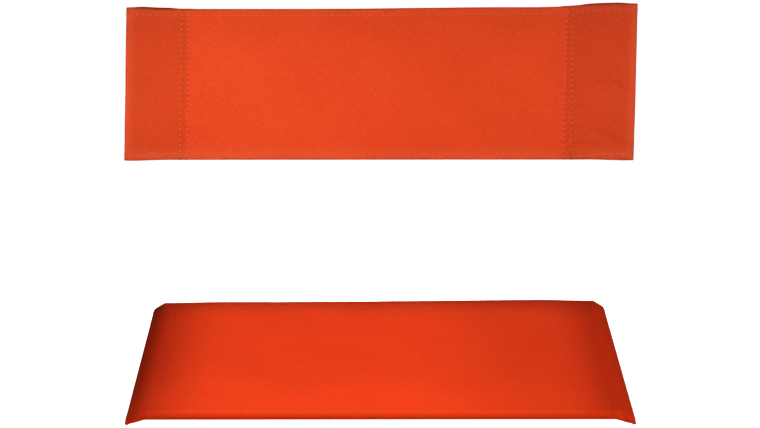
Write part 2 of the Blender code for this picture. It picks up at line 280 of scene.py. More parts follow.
def seat_section(u, radius, rear=0.0):
    """Point (x, z) and normal angle of the right half's outer face at stretch number u.

    Point = centre(u) + reach(u) * (cos angle(u), sin angle(u)), all three linear in u. The
    stretches are: 0 the flat top, 1 its bend, 2 the slope, 3 round the dowel, 4 the straight
    neck, 5 the lower ply's bend, 6 the flat pocket. rear goes to 1 at the rear hem.
    """
    opened = (radius - PINCH_RADIUS) / (LOOP_RADIUS - PINCH_RADIUS)
    top_bend = PINCH_BEND + (TOP_BEND - PINCH_BEND) * opened
    top_bend = top_bend + (REAR_BEND - top_bend) * rear
    bend_in = TOP_BEND_IN + (REAR_BEND_IN - TOP_BEND_IN) * rear
    bend = (SEAT_HALF - BEND_IN, -RAIL_BEND)
    top = (SEAT_HALF - bend_in, -top_bend)
    loop_x = SEAT_HALF - radius
    top_bearing, top_distance = seen_from_loop(top, loop_x)
    bearing, distance = seen_from_loop(bend, loop_x)
    outer = top_bearing + math.pi + np.arccos((top_bend - radius) / top_distance)
    outer = np.mod(outer, 2 * math.pi)
    neck = bearing + np.arccos((radius + NECK_BEND) / distance) - 2 * math.pi
    level = np.zeros_like(radius)
    quarter = level + math.pi / 2

    def between(*corners):
        knots = np.stack(np.broadcast_arrays(*[level + c for c in corners]), axis=-1)
        weight = np.clip(1 - np.abs(u[..., None] - np.arange(LAST + 1)), 0, 1)
        return (weight * knots).sum(-1)

    end = SEAT_HALF - POCKET_END - BEYOND
    x = between(0, top[0], top[0], loop_x, loop_x, bend[0], bend[0], end)
    z = between(top[1], top[1], top[1], LOOP_HEIGHT, LOOP_HEIGHT, bend[1], bend[1], bend[1])
    reach = between(top_bend, top_bend, top_bend, radius, radius, *[-NECK_BEND] * 3)
    angle = between(quarter, quarter, outer, outer, neck, neck, -quarter, -quarter)
    return x + reach * np.cos(angle), z + reach * np.sin(angle), angle


table_u = np.linspace(0, LAST, 2801)
table_x, table_z, _ = seat_section(table_u, np.array(LOOP_RADIUS))
table_s = np.concatenate([[0], np.cumsum(np.hypot(np.diff(table_x), np.diff(table_z)))])
SEAT_REACH = table_s[-1] - BEYOND
UNDER_START = np.interp(6, table_u, table_s)
print(f"cloth across half the seat: {SEAT_REACH:.4f} m")

# %% The whole seat surface
CROWN = 0.0011  # the taut middle stands this much above the sides
CROWN_REACH = 0.062
SKEW = 0.008  # the right side was cut a little deeper
RIGHT_SPREAD = 0.0009  # and a little wider
SEAT_LENGTH = LIP_ARC + SEAT_DEPTH - LIP_DEPTH
print(f"cloth from front to rear of the seat: {SEAT_LENGTH:.4f} m")


def seat_base(s, v):
    """Section across, carried from front to rear; the front rolls down a quarter of an ellipse.

    Depth = 8 mm * (1 - cos a) and drop = 7 mm * (1 - sin a), a from 0 to a right angle. The roll
    narrows to nothing round the pocket, and the lower ply runs straight to its front end.
    """
    u = np.interp(np.abs(s), table_s, table_u)
    rolled = 1 - smooth((u - 1.65) / 2.15)
    lower_ply = smooth((u - 4.2) / 1.2)
    roll = np.clip(v / LIP_ARC, None, 1) * math.pi / 2
    curved = LIP_DEPTH * (1 - np.cos(roll))
    straight = LIP_DEPTH * np.clip(v / LIP_ARC, None, 1)
    front = rolled * curved + (1 - rolled) * straight
    depth = front + np.clip(v - LIP_ARC, 0, None)
    pressed = smooth(depth / PINCH_LENGTH)
    rear = smooth(1 - (SEAT_DEPTH - depth) / REAR_REACH)
    x, z, _ = seat_section(u, PINCH_RADIUS + (LOOP_RADIUS - PINCH_RADIUS) * pressed, rear)
    from_fold = SEAT_HALF - x
    z = z - LIP_DROP * (1 - np.sin(roll)) * rolled
    z = z + CROWN * smooth((from_fold - BEND_IN) / CROWN_REACH) * smooth(depth / 0.06)
    x = np.sign(s) * x + RIGHT_SPREAD * smooth(s / SEAT_HALF)
    y = SEAT_FRONT + depth + UNDER_SHORT * lower_ply * (1 - smooth(depth / 0.04))
    y = y + SKEW * depth / SEAT_DEPTH * smooth((x + 0.14) / 0.36)
    return np.stack([x, y, SEAT_TOP + z], axis=-1)


# %% [markdown]
# ## Stitch rows
#
# A lockstitch seam pulls the cloth down in a narrow groove, most at each needle hole, and the
# cloth beside it puckers a little. The rows lie where the CAD model has its threads. Hem rows run
# across the cloth and pocket or sleeve rows run along it.

# %% Where the rows are
SEAT_PITCH = 0.0064
HEM_PITCH = 0.0070
ROW_INSET = 0.001  # a sleeve's row starts this far from the cloth's edge
SLEEVE_PITCH = (BACK_HEIGHT - 2 * ROW_INSET) / 28
seat_hem_rows = {
    "front": LIP_ARC + middle("seat_front_hem_needle_thread", Y) - SEAT_FRONT - LIP_DEPTH,
    "rear": LIP_ARC + middle("seat_rear_hem_needle_thread", Y) - SEAT_FRONT - LIP_DEPTH,
}
pocket_rows = {
    (side, row): middle(f"seat_{side}_pocket_{row}_needle_thread", X)
    for side in SIDES
    for row in ("outer", "inner")
}
back_hem_rows = {
    edge: middle(f"back_{edge}_hem_needle_thread", Z) - BACK_BOTTOM for edge in ("bottom", "top")
}
sleeve_rows = {
    (side, row): middle(f"back_{side}_sleeve_{row}_needle_thread", X)
    for side in SIDES
    for row in ("outer", "inner")
}
print("rows:", len(seat_hem_rows) + len(pocket_rows), "on the seat,",
      len(back_hem_rows) + len(sleeve_rows), "on the back")

# %% How a row draws the cloth in
GROOVE = 0.00045  # depth at a needle hole of a sleeve row
GROOVE_HALF = 0.0011
PUCKER = 0.00012
PUCKER_HALF = 0.0035
SEAT_GROOVE = 0.00005  # the stretched seat hardly gives way
SEAT_PUCKER = 0.00002
SEAT_UNEVEN = 0.00003


def needle_holes(along, pitch):
    """1 at each needle hole and 0 halfway between: (1 + cos(2 pi * place / pitch)) / 2."""
    return 0.5 + 0.5 * np.cos(2 * math.pi * along / pitch)


def drawn_in(aside, along, pitch, groove, pucker, seed):
    """Depth beside one row: a groove exp(-(d/w)^2), deepest at the needle holes, and soft puckers."""
    holes = needle_holes(along, pitch)
    narrow = np.exp(-((aside / GROOVE_HALF) ** 2))
    wide = np.exp(-((aside / PUCKER_HALF) ** 2))
    gathers = 0.5 * ripples(along, 0 * along, 1.5 * pitch, seed, spread=0.1) - 2 * holes
    return -groove * holes * narrow + pucker * gathers * wide


def seat_relief(s, v):
    """Grooves of all seat rows and the faint unevenness of stretched cloth."""
    height = SEAT_UNEVEN * ripples(s, v, 0.055, 3, spread=3.1)
    for number, row in enumerate(seat_hem_rows.values()):
        height = height + drawn_in(v - row, s, HEM_PITCH, 0.8 * SEAT_GROOVE, SEAT_PUCKER, 20 + number)
    for number, row in enumerate(pocket_rows.values()):
        top = np.abs(s) < UNDER_START - 0.02
        aside = np.where(top, s - row, 1.0)
        height = height + drawn_in(aside, v, SEAT_PITCH, SEAT_GROOVE, SEAT_PUCKER, 30 + number)
    return height


seat_surface = relieved(seat_base, seat_relief)

# %% [markdown]
# ## The seat cloth
#
# The grid is finer where the cloth turns sharply, at the rails, round the dowels and at the front
# roll, and coarser over the flat middle, where only the weave shows.

# %% Grid of the seat
def dense(stretches):
    """Places along a line: for each (start, end, spacing) an even run, joined without doubles."""
    runs = [np.linspace(a, b, max(2, round((b - a) / gap) + 1))[:-1] for a, b, gap in stretches]
    return np.concatenate([*runs, [stretches[-1][1]]])


turn_start = SEAT_HALF - BEND_IN
half_across = dense([
    (0, SEAT_HALF - 0.045, 0.0045),
    (SEAT_HALF - 0.045, turn_start, 0.0012),
    (turn_start, UNDER_START, 0.00095),
    (UNDER_START, SEAT_REACH, 0.0016),
])
seat_across = np.concatenate([-half_across[:0:-1], half_across])
seat_places = dense([
    (0, LIP_ARC, 0.0009),
    (LIP_ARC, 0.030, 0.0012),
    (0.030, SEAT_LENGTH - 0.020, 0.0034),
    (SEAT_LENGTH - 0.020, SEAT_LENGTH, 0.0012),
])
print("grid of the seat:", len(seat_across), "x", len(seat_places))


# %% Painted highlight and shade on the seat
def seat_painted_highlight(s, v):
    """Highest along the crest of the front roll: a painted highlight there, exp(-(d/w)^2)."""
    return 0.6 * np.exp(-(((v - 0.0085) / 0.0035) ** 2)) + 0 * s


def seat_painted_edge_shade(s, v):
    """Highest on the outermost line of each pocket and along the front fold: painted shade on these
    edges.
    """
    u = np.interp(np.abs(s), table_s, table_u)
    side = smooth((u - 2.8) / 0.5) * smooth((3.9 - u) / 0.3)
    return np.maximum(0.6 * side * smooth((v - 0.004) / 0.01), 0.6 * (v <= 0))


def seat_painted_shade(s, v):
    """Highest on the face of the front roll and towards the sides: painted shade, a deeper and
    redder colour where less light falls.
    """
    side = 0.7 * smooth((np.abs(s) - SEAT_HALF + 0.065) / 0.055)
    return np.maximum(1 - smooth((v - 0.0025) / 0.005), side)


# %% Sew the seat
seat_cloth, seat_flat = hemmed_sheet(
    "seat_canvas_sheet", seat_surface, seat_across, SEAT_LENGTH, SEAT_HEM + LIP_ARC - LIP_DEPTH,
    seat_places, {"painted_highlight": seat_painted_highlight, "painted_edge_shade": seat_painted_edge_shade, "pressed": seat_painted_shade},
)

# %% [markdown]
# ## The back's surface
#
# The back is a strip folded round two posts. From the front it is nearly flat. Its right sleeve
# has spread and stands higher at the corner, and both lower corners sag a little. Each side fold
# rolls softly, which is where the nap of the cloth catches the light.

# %% Outline and plan of the back
SLEEVE_GAPE = 0.0066  # room for the post between the plies
SLEEVE_RISE = 0.3
HALF_TOP = {"left": BACK_HALF - 0.0038, "right": BACK_HALF + 0.0034}
HALF_BOTTOM = {"left": BACK_HALF + 0.0022, "right": BACK_HALF + 0.0026}
FOLD_ROLL = 0.0009  # how far the front ply has turned back where the fold starts
ROLL_REACH = 0.009
MIDDLE_DIP = 0.0016  # the upper edge hangs this far below its highest CAD line
RIGHT_RISE = 0.0018
FLARE = 0.0036  # the right sleeve's corner stands up
LEFT_RISE = 0.0014
CORNER_SAG = 0.0011
SEAM_MARGIN = 0.0127  # cloth behind, past the outer sleeve row
sleeve_width = {side: BACK_HALF - abs(sleeve_rows[side, "outer"]) for side in SIDES}
BACK_REACH = {
    side: BACK_HALF - NOSE + math.pi * NOSE + sleeve_width[side] - NOSE + SEAM_MARGIN for side in SIDES
}
print("sleeves:", {side: round(width, 4) for side, width in sleeve_width.items()}, "m wide")


def top_edge(x):
    """Height of the upper edge: low in the middle left, rising into the right sleeve."""
    right = RIGHT_RISE * smooth((x + 0.08) / 0.22) + FLARE * smooth((x - 0.17) / 0.10)
    left = LEFT_RISE * smooth((-x - 0.235) / 0.04)
    return back_high.z - MIDDLE_DIP + right + left


def bottom_edge(x):
    """Height of the lower edge, with a small sag at both corners."""
    return BACK_BOTTOM - CORNER_SAG * smooth((np.abs(x) - 0.235) / 0.045)


def back_half(s, v, side):
    """One half of the back, x > 0: front ply, half circle at the fold, and the bowed rear ply."""
    half = HALF_BOTTOM[side] + (HALF_TOP[side] - HALF_BOTTOM[side]) * v / BACK_HEIGHT
    straight = BACK_HALF - NOSE
    turn = np.clip((s - straight) / NOSE, 0, math.pi)
    behind = np.clip(s - straight - math.pi * NOSE, 0, None)
    x = np.minimum(s, straight) + NOSE * np.sin(turn) - behind
    near_fold = smooth(1 - (straight - np.minimum(s, straight)) / ROLL_REACH)
    share = np.clip(behind / (sleeve_width[side] - NOSE), 0, 1)
    bow = smooth(share / SLEEVE_RISE) * smooth((1 - share) / SLEEVE_RISE)
    back_of_fold = FOLD_ROLL * smooth(1 - share / 0.12)
    y = NOSE * (1 - np.cos(turn)) + SLEEVE_GAPE * bow
    y = y + np.where(s < straight, FOLD_ROLL * near_fold**2, back_of_fold)
    return x * half / BACK_HALF, y


def back_base(s, v):
    """Both halves joined, and each height carried between the lower and the upper edge."""
    left_x, left_y = back_half(np.abs(s), v, "left")
    right_x, right_y = back_half(np.abs(s), v, "right")
    x = np.where(s < 0, -left_x, right_x)
    y = BACK_FRONT + np.where(s < 0, left_y, right_y)
    low = bottom_edge(x)
    return np.stack([x, y, low + (top_edge(x) - low) * v / BACK_HEIGHT], axis=-1)


# %% Relief of the back
PRESSED_FOLD = 0.0014  # a crease from packing, slanting across the foot of the right sleeve
SWELL = 0.0010  # the front ply of a sleeve bows out this much
CREASE = {"left": 0.0003, "right": 0.0014}
CREASE_LENGTH = {"left": 0.06, "right": 0.036}
BACK_UNEVEN = 0.00010


def back_relief(s, v):
    """Row grooves, a soft swell and level creases in each sleeve, and one slanting fold."""
    height = BACK_UNEVEN * ripples(s, v, 0.05, 5, spread=3.1)
    ends = smooth(v / 0.012) * smooth((BACK_HEIGHT - v) / 0.012)
    for side, sign in SIDES.items():
        seam = sleeve_width[side]
        inside = (BACK_HALF - sign * s) / seam
        swell = smooth(inside / 0.35) * smooth((1 - inside) / 0.35)
        creases = CREASE[side] * ripples(s, v, CREASE_LENGTH[side], 7, turn=1.35, spread=0.35)
        height = height + swell * (SWELL + creases) * ends
    fold_line = v - 0.030 + 0.30 * (s - 0.235)
    faded = smooth((s - 0.215) / 0.02) * smooth((BACK_HALF - 0.006 - s) / 0.02)
    height = height - PRESSED_FOLD * np.exp(-((fold_line / 0.006) ** 2)) * faded
    for number, row in enumerate(back_hem_rows.values()):
        height = height + drawn_in(v - row, s, HEM_PITCH, GROOVE / 2, PUCKER / 2, 40 + number)
    for number, row in enumerate(sleeve_rows.values()):
        front = np.abs(s) < BACK_HALF - NOSE
        aside = np.where(front, s - row, 1.0)
        along = v - ROW_INSET
        height = height + drawn_in(aside, along, SLEEVE_PITCH, GROOVE, PUCKER, 50 + number)
    return height


back_surface = relieved(back_base, back_relief)

# %% Grid of the back
def back_side(side):
    """Places from the middle to the raw edge behind, close together at the rows and the fold."""
    row = abs(sleeve_rows[side, "inner"])
    return dense([
        (0, row - 0.006, 0.0045),
        (row - 0.006, row + 0.014, 0.0009),
        (row + 0.014, BACK_HALF - 0.016, 0.0028),
        (BACK_HALF - 0.016, BACK_HALF - NOSE, 0.0014),
        (BACK_HALF - NOSE, BACK_HALF + 0.006, 0.0006),
        (BACK_HALF + 0.006, BACK_REACH[side], 0.0030),
    ])


back_across = np.concatenate([-back_side("left")[:0:-1], back_side("right")])
back_places = dense([
    (0, 0.010, 0.0009),
    (0.010, BACK_HEIGHT - 0.010, 0.00125),
    (BACK_HEIGHT - 0.010, BACK_HEIGHT, 0.0009),
])
print("grid of the back:", len(back_across), "x", len(back_places))


# %% Painted shade and highlight on the back
def back_painted_sleeve_shade(s, v):
    """1 over the sleeves, where a second ply lies behind the first: painted shade there."""
    left = smooth((sleeve_rows["left", "inner"] - s) / 0.002)
    return left + smooth((s - sleeve_rows["right", "inner"]) / 0.002)


def back_holes(s, v):
    """1 at the needle holes of the sleeve rows, where the cloth is drawn in and shaded."""
    near = sum(np.exp(-(((s - row) / 0.0012) ** 2)) for row in sleeve_rows.values())
    uneven = np.clip(0.65 + 0.45 * ripples(s, v, 0.02, 60, spread=3.1), 0, 1)
    return np.clip(near * uneven * needle_holes(v - ROW_INSET, SLEEVE_PITCH) ** 2, 0, 1)


def back_painted_edge_shade(s, v):
    """Highest on the sharp edges themselves: painted shade along the side folds and the hem edges."""
    turned = (np.abs(s) - BACK_HALF + NOSE) / NOSE
    side = smooth((turned - 0.5) / 0.6) * smooth((2.6 - turned) / 0.6)
    return np.maximum(0.8 * side, 0.6 * ((v <= 0) | (v >= BACK_HEIGHT)))


def back_painted_highlight(s, v):
    """Highest at the side folds and along the hems: a painted highlight, the sheen of the rounded
    cloth.
    """
    fold = np.exp(-(((np.abs(s) - BACK_HALF + 0.003) / 0.0055) ** 2))
    low = np.exp(-(((v - 0.0055) / 0.0055) ** 2))
    high = np.exp(-(((v - BACK_HEIGHT + 0.004) / 0.004) ** 2))
    return np.clip(0.8 * fold + low + 0.5 * high, 0, 1)


# %% Sew the back
back_cloth, back_flat = hemmed_sheet(
    "back_canvas_sheet", back_surface, back_across, BACK_HEIGHT, BACK_HEM, back_places,
    {"painted_sleeve_shade": back_painted_sleeve_shade, "painted_highlight": back_painted_highlight, "holes": back_holes, "painted_edge_shade": back_painted_edge_shade},
)

# %% [markdown]
# ## Stitches
#
# A machine seam shows as a row of short thread arcs, each dipping into a needle hole at both ends.
# They could be a bump in the material, but real arcs catch light and hold up from near by. One
# function makes a whole row as arrays: it walks along a line on the surface, and puts a small
# bent, flattened tube on each stitch.

# %% A row of stitches
STITCH_SHARE = 0.72  # the rest of each pitch is down in the needle holes
THREAD_WIDTH = 0.00105
THREAD_HEIGHT = 0.00055
RING = 6
SECTIONS = 7
UNEVEN_FEED = 0.00012  # how far a stitch strays along its row
LEAN = 0.00008  # and to the side


def stitch_row(name, surface, start, end, pitch, proud, face=1, depth=0.0, seed=0):
    """Flattened tubes along the line from start to end, in (s, v).

    Each rises as 1 - t^4 between its ends at t = -1 and 1 and sinks below the cloth there.
    proud is how far its middle line stands above the cloth. face is 1 on the surface's outer
    side and -1 on the other side, depth below it.
    """
    start, end = np.array(start), np.array(end)
    length = np.linalg.norm(end - start)
    count = max(1, round(length / pitch))
    random = np.random.default_rng(seed)
    t = np.linspace(-1, 1, SECTIONS)
    half = STITCH_SHARE / 2 * length / count
    place = (np.arange(count) + 0.5)[:, None] * length / count + half * t
    place = place + random.normal(0, UNEVEN_FEED, (count, 1))
    way = (end - start) / length
    s, v = start[0] + way[0] * place, start[1] + way[1] * place
    point, _, normal = local_frame(surface, s, v)
    ahead = surface(s + way[0] * STEP, v + way[1] * STEP) - point
    side = unit(np.cross(normal, ahead)) * face
    normal = normal * face
    rise = proud - (proud + THREAD_HEIGHT / 2) * t**4
    middle_line = point + normal * (rise - face * depth)[..., None]
    slim = (1 - 0.55 * t**4)[None, :, None, None]
    round_it = 2 * math.pi * np.arange(RING) / RING
    lean = random.normal(0, LEAN, (count, 1, 1))
    ring = (
        side[:, :, None] * (np.cos(round_it) * THREAD_WIDTH / 2)[:, None]
        + normal[:, :, None] * (np.sin(round_it) * THREAD_HEIGHT / 2)[:, None]
    )
    points = middle_line[:, :, None] + ring * slim + side[:, :, None] * lean[..., None]

    base = np.arange(count)[:, None, None] * SECTIONS * RING
    first = base + np.arange(SECTIONS - 1)[None, :, None] * RING
    here = np.arange(RING)
    beside = (here + 1) % RING
    walls = np.stack(
        [first + here, first + beside, first + RING + beside, first + RING + here], axis=-1
    ).reshape(-1, 4)
    caps = np.concatenate([base[:, 0] + here[::-1], base[:, 0] + (SECTIONS - 1) * RING + here])
    round_thread = (here * THREAD_WIDTH / 2)[None, None]
    uvs = np.stack(np.broadcast_arrays(place[..., None], round_thread), axis=-1)
    dip = np.broadcast_to(np.abs(t)[None, :, None], points.shape[:3])
    return finish_mesh(name, points, walls.tolist() + caps.tolist(), uvs, {"dip": dip})


# %% [markdown]
# The needle thread shows on the outer face and the bobbin thread on the other. A hem was sewn
# before the sides were folded, so its needle thread runs all round, through the pockets too.
# A pocket or sleeve row goes through both plies, and its bobbin thread shows on the rear ply.

# %% All rows of the seat
stitches = {}
SEAT_END = SEAT_REACH - 0.002
SEAT_PROUD = 0.00008  # on the stretched seat the thread sinks into the cloth
BACK_PROUD = 0.00030
for number, (edge, row) in enumerate(seat_hem_rows.items()):
    name = f"seat_{edge}_hem"
    stitches[f"{name}_needle_thread"] = stitch_row(
        f"{name}_needle_stitches", seat_surface, (-SEAT_END, row), (SEAT_END, row),
        HEM_PITCH, SEAT_PROUD, seed=number,
    )
    inner = SEAT_HALF - POCKET_END
    stitches[f"{name}_bobbin_thread"] = stitch_row(
        f"{name}_bobbin_stitches", seat_surface, (-inner, row), (inner, row),
        HEM_PITCH, SEAT_PROUD, face=-1, depth=2 * PLY + FOLD_GAP, seed=number,
    )
for number, ((side, row), x) in enumerate(pocket_rows.items()):
    name = f"seat_{side}_pocket_{row}"
    under = SIDES[side] * (UNDER_START + SEAT_HALF - BEND_IN - abs(x))
    for kind, s in (("needle", x), ("bobbin", under)):
        stitches[f"{name}_{kind}_thread"] = stitch_row(
            f"{name}_{kind}_stitches", seat_surface, (s, 0.004), (s, SEAT_LENGTH - 0.002),
            SEAT_PITCH, SEAT_PROUD, seed=10 + number,
        )
seat_stitches = list(stitches.values())
print(len(seat_stitches), "rows of seat stitches")

# %% All rows of the back
for number, (edge, row) in enumerate(back_hem_rows.items()):
    name = f"back_{edge}_hem"
    ends = [(-BACK_REACH["left"] + 0.002, row), (BACK_REACH["right"] - 0.002, row)]
    stitches[f"{name}_needle_thread"] = stitch_row(
        f"{name}_needle_stitches", back_surface, *ends, HEM_PITCH, BACK_PROUD, seed=20 + number
    )
    left, right = [sleeve_rows[side, "inner"] for side in SIDES]
    ends = [(left + 0.006, row), (right - 0.006, row)]
    stitches[f"{name}_bobbin_thread"] = stitch_row(
        f"{name}_bobbin_stitches", back_surface, *ends, HEM_PITCH, BACK_PROUD,
        face=-1, depth=2 * PLY + FOLD_GAP, seed=20 + number,
    )
for number, ((side, row), x) in enumerate(sleeve_rows.items()):
    name = f"back_{side}_sleeve_{row}"
    behind = SIDES[side] * (BACK_HALF - NOSE + math.pi * NOSE + BACK_HALF - NOSE - abs(x))
    for kind, s in (("needle", x), ("bobbin", behind)):
        stitches[f"{name}_{kind}_thread"] = stitch_row(
            f"{name}_{kind}_stitches", back_surface, (s, ROW_INSET), (s, BACK_HEIGHT - ROW_INSET),
            SLEEVE_PITCH, BACK_PROUD, seed=30 + number,
        )

# %% [markdown]
# ## Dowels
#
# Each dowel is a plain turned birch stick whose ends are eased so that it slides in without
# catching. It is a profile spun round its axis, with both poles closed.

# %% Make the dowels
EASE = 0.0006
AROUND = 48
GRAIN_SHIFT = 0.9  # each stick was cut this far along its tree, one up and one down


def dowel(side):
    """Rings of radius r along Y: flat end, quarter-round edge, straight body, and the same again."""
    low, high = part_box(f"{side}_dowel")
    axis_x, axis_z = (low.x + high.x) / 2, (low.z + high.z) / 2
    edge = np.linspace(0, math.pi / 2, 6)
    face = np.linspace(0.2, 0.8, 4) * (DOWEL_RADIUS - EASE)
    reach = np.concatenate([face, DOWEL_RADIUS - EASE + EASE * np.sin(edge)])
    inset = np.concatenate([np.zeros(len(face)), EASE * (1 - np.cos(edge))])
    body = np.linspace(low.y + EASE, high.y - EASE, 40)[1:-1]
    y = np.concatenate([low.y + inset, body, high.y - inset[::-1]])
    r = np.concatenate([reach, np.full(len(body), DOWEL_RADIUS), reach[::-1]])
    turn = 2 * math.pi * np.arange(AROUND) / AROUND
    rings = np.stack(np.broadcast_arrays(
        axis_x + r[:, None] * np.cos(turn), y[:, None], axis_z + r[:, None] * np.sin(turn)
    ), axis=-1)
    poles = [[axis_x, low.y, axis_z], [axis_x, high.y, axis_z]]
    points = np.concatenate([rings.reshape(-1, 3), poles])
    row = np.arange(len(r) - 1)[:, None] * AROUND
    here, beside = np.arange(AROUND), (np.arange(AROUND) + 1) % AROUND
    walls = np.stack(
        [row + here, row + beside, row + AROUND + beside, row + AROUND + here], axis=-1
    ).reshape(-1, 4)
    last = len(r) * AROUND
    front = np.stack([np.full(AROUND, last), beside, here], axis=1)
    rear = np.stack([np.full(AROUND, last + 1), last - AROUND + here, last - AROUND + beside], axis=1)
    faces = walls.tolist() + front.tolist() + rear.tolist()
    piece = finish_mesh(f"{side}_birch_dowel", points, faces)
    grain = piece.data.attributes.new("grain", "FLOAT_VECTOR", "POINT")
    own = points - [axis_x, SIDES[side] * GRAIN_SHIFT, axis_z]
    grain.data.foreach_set("vector", own.astype(np.float32).ravel())
    return piece


dowels = {side: dowel(side) for side in SIDES}
print("dowels:", [piece.name for piece in dowels.values()])

# %% [markdown]
# ## Materials
#
# Colours are written as sRGB hex and turned to Blender's linear values in one place. One helper
# adds a node with its settings and links, so that a material reads as a list of steps.

# %% Helpers for materials
def linear(hex_colour):
    """A colour written as sRGB hex, in Blender's linear values with alpha 1."""
    parts = [int(hex_colour[i : i + 2], 16) / 255 for i in (0, 2, 4)]
    return (*[p / 12.92 if p <= 0.04045 else ((p + 0.055) / 1.055) ** 2.4 for p in parts], 1)


def add(material, kind, inputs=None, **settings):
    """A node with its settings, and its inputs set to values or linked from other nodes' outputs."""
    tree = material.node_tree
    made = tree.nodes.new(kind)
    for key, value in settings.items():
        setattr(made, key, value)
    for key, value in (inputs or {}).items():
        if isinstance(value, bpy.types.NodeSocket):
            tree.links.new(value, made.inputs[key])
        else:
            made.inputs[key].default_value = value
    return made


def new_material(name, **surface):
    """A node material with a Principled shader and the settings that are the same all over."""
    material = bpy.data.materials.new(name)
    material.use_nodes = True
    shader = material.node_tree.nodes["Principled BSDF"]
    for key, value in surface.items():
        shader.inputs[key.replace("_", " ").title().replace("Ior", "IOR")].default_value = value
    return material, shader


# %% [markdown]
# ### Dyed cotton canvas
#
# Duck canvas is a plain weave: every thread goes over one and under the next. Its look is matt and
# even, with thicker stretches of yarn, called slubs, that run along both directions, and a thin
# nap that lightens the cloth where it turns away. Real threads lie about 0.6 mm apart, too fine to
# show, so the weave is drawn at twice that. It follows the UV map, which is in metres of cloth, so
# it turns with every fold.

# %% Canvas
THREAD_SPACING = 0.0012  # metres between drawn threads
SLUBS = ((160, 900, 1), (900, 160, 1))  # per metre: thick yarn is long one way, thin the other
MARKS = {  # stored mark: (share, blend, tint)
    # painted shade: the sleeves a little darker
    "painted_sleeve_shade": (1.0, "MULTIPLY", "F0F1F2"),
    "painted_highlight": (0.5, "MIX", None),  # painted highlight, in the lighter colour given to canvas() as faded
    "holes": (0.4, "MIX", "8C2A0E"),
    # painted shade along the folded edges
    "painted_edge_shade": (0.6, "MIX", "6E1E0C"),
    # painted shade: deeper red on the face of the front roll and on the seat's sides
    "pressed": (0.8, "MIX", "EE3208"),
}


def canvas(name, light, deep, faded, marks):
    """Plain weave: sin(pi u / p) * sin(pi v / p) is above 0 where the warp lies on top.

    It lies below 0 where the weft does, and there the colour is painted darker as shade. Each
    stored mark then paints shade or a highlight into the cloth by its share; the highlight mark
    turns it to the lighter colour given as faded.
    """
    material, shader = new_material(
        name, roughness=0.9, specular_ior_level=0.06, sheen_weight=0.04, sheen_roughness=0.45
    )
    shader.inputs["Sheen Tint"].default_value = linear("FF9A60")
    place = add(material, "ShaderNodeUVMap", uv_map="Cloth").outputs[0]
    threads = add(
        material, "ShaderNodeVectorMath",
        {0: place, 1: (math.pi / THREAD_SPACING, math.pi / THREAD_SPACING, 0)}, operation="MULTIPLY",
    )
    waves = add(material, "ShaderNodeVectorMath", {0: threads.outputs[0]}, operation="SINE")
    split = add(material, "ShaderNodeSeparateXYZ", {0: waves.outputs[0]})
    weave = add(
        material, "ShaderNodeMath", {0: split.outputs[0], 1: split.outputs[1]}, operation="MULTIPLY"
    )
    slubs = []
    for stretch in SLUBS:
        moved = add(material, "ShaderNodeVectorMath", {0: place, 1: stretch}, operation="MULTIPLY")
        noise = {"Vector": moved.outputs[0], "Scale": 1, "Detail": 2}
        slubs.append(add(material, "ShaderNodeTexNoise", noise))
    slub = add(
        material, "ShaderNodeMath", {0: slubs[0].outputs[0], 1: slubs[1].outputs[0]}, operation="ADD"
    )
    patches = add(
        material, "ShaderNodeTexNoise", {"Vector": place, "Scale": 14, "Detail": 3, "Roughness": 0.55}
    )
    # painted shade: the weave darkens the colour where it lies low; the slubs add their own tone
    weave_shade_and_slubs = add(
        material, "ShaderNodeMath", {0: weave.outputs[0], 1: 0.16, 2: slub.outputs[0]},
        operation="MULTIPLY_ADD",
    )
    tone = add(
        material, "ShaderNodeMath", {0: patches.outputs[0], 1: 0.5, 2: weave_shade_and_slubs.outputs[0]},
        operation="MULTIPLY_ADD",
    )
    spread = add(material, "ShaderNodeMapRange", {0: tone.outputs[0], 1: 0.9, 2: 1.6}, clamp=True)
    colour = add(
        material, "ShaderNodeMix", {0: spread.outputs[0], 6: linear(deep), 7: linear(light)},
        data_type="RGBA",
    )
    result = colour.outputs[2]
    for mark in marks:
        share, blend, tint = MARKS[mark]
        stored = add(material, "ShaderNodeAttribute", attribute_name=mark)
        amount = add(
            material, "ShaderNodeMath", {0: stored.outputs["Fac"], 1: share}, operation="MULTIPLY"
        )
        result = add(
            material, "ShaderNodeMix", {0: amount.outputs[0], 6: result, 7: linear(tint or faded)},
            data_type="RGBA", blend_type=blend,
        ).outputs[2]
    height = add(
        material, "ShaderNodeMath", {0: weave.outputs[0], 1: 0.5, 2: slub.outputs[0]},
        operation="MULTIPLY_ADD",
    )
    bump = add(
        material, "ShaderNodeBump", {"Strength": 0.35, "Distance": 0.0003, "Height": height.outputs[0]}
    )
    material.node_tree.links.new(result, shader.inputs["Base Color"])
    material.node_tree.links.new(bump.outputs[0], shader.inputs["Normal"])
    return material


seat_canvas = canvas(
    "dyed_canvas_seat", "F44418", "E0360F", "F84C1C", ["painted_highlight", "painted_edge_shade", "pressed"]
)
back_canvas = canvas(
    "dyed_canvas_back", "F2532A", "DE461E", "F0643A", ["painted_sleeve_shade", "painted_highlight", "holes", "painted_edge_shade"]
)
print("canvas:", len(seat_canvas.node_tree.nodes), "and", len(back_canvas.node_tree.nodes), "nodes")

# %% [markdown]
# ### Sewing thread
#
# Spun polyester thread is three yarns twisted together, so fine slanting ridges run round it. It
# is a little glossier than the cloth. Its colour carries painted shade: a little darker in the
# grooves of the twist, and darker where it dips into a needle hole.

# %% Thread
TWIST = 0.0009  # metres from one ridge to the next


